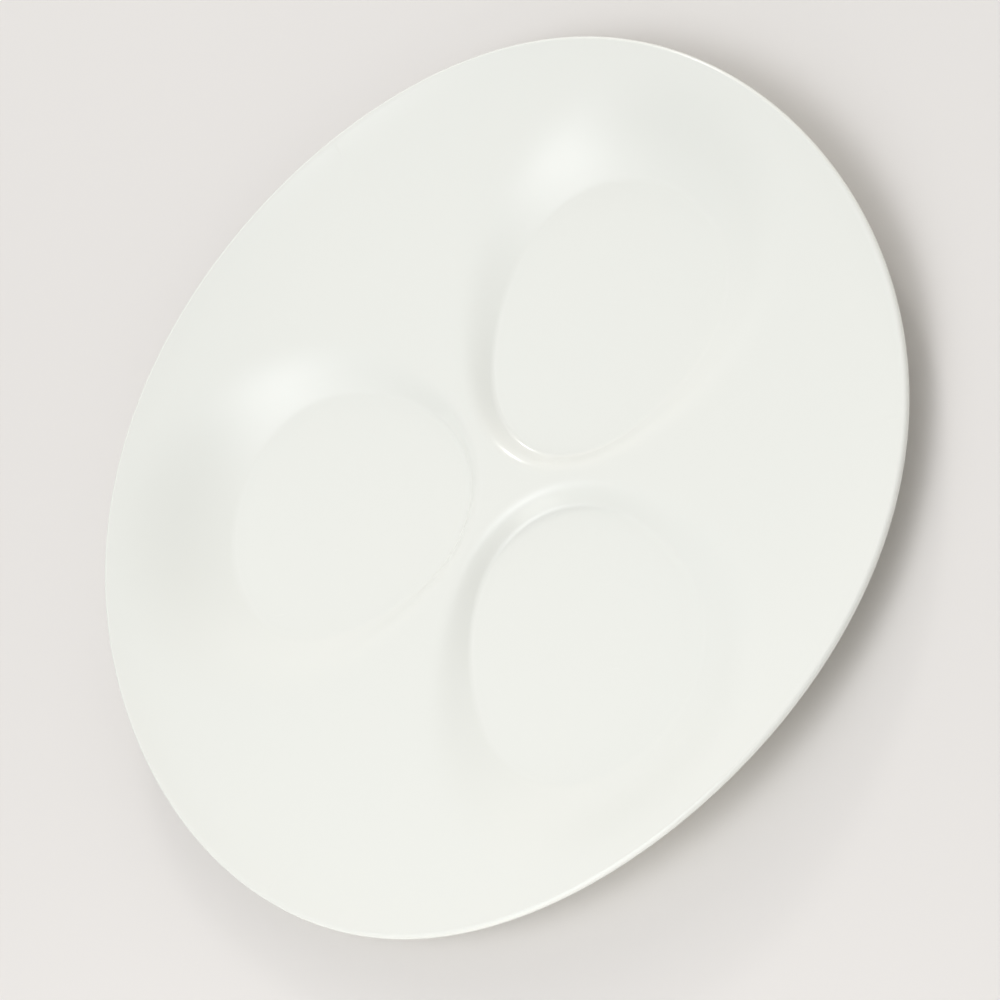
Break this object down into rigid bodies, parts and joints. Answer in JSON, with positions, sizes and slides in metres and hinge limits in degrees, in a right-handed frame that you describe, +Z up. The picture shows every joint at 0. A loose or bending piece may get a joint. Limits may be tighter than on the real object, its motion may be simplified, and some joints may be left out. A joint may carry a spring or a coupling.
{
  "type": "chip and dip server",
  "caption": "Shallow round serving platter moulded in one piece, with egg-shaped dip wells around a central ridge and a gently waving rim",
  "frame": {"origin": "on the table plane under the middle of the platter, where the ridges meet", "axes": "+Z up, out of the wells; +X along the middle of the first well, towards the rim"},
  "size_m": [0.356, 0.356, 0.0254],
  "materials": {
    "platter": "semi-gloss off-white moulded melamine"
  },
  "bodies": {
    "root": {"platter": "platter"}
  },
  "joints": []
}
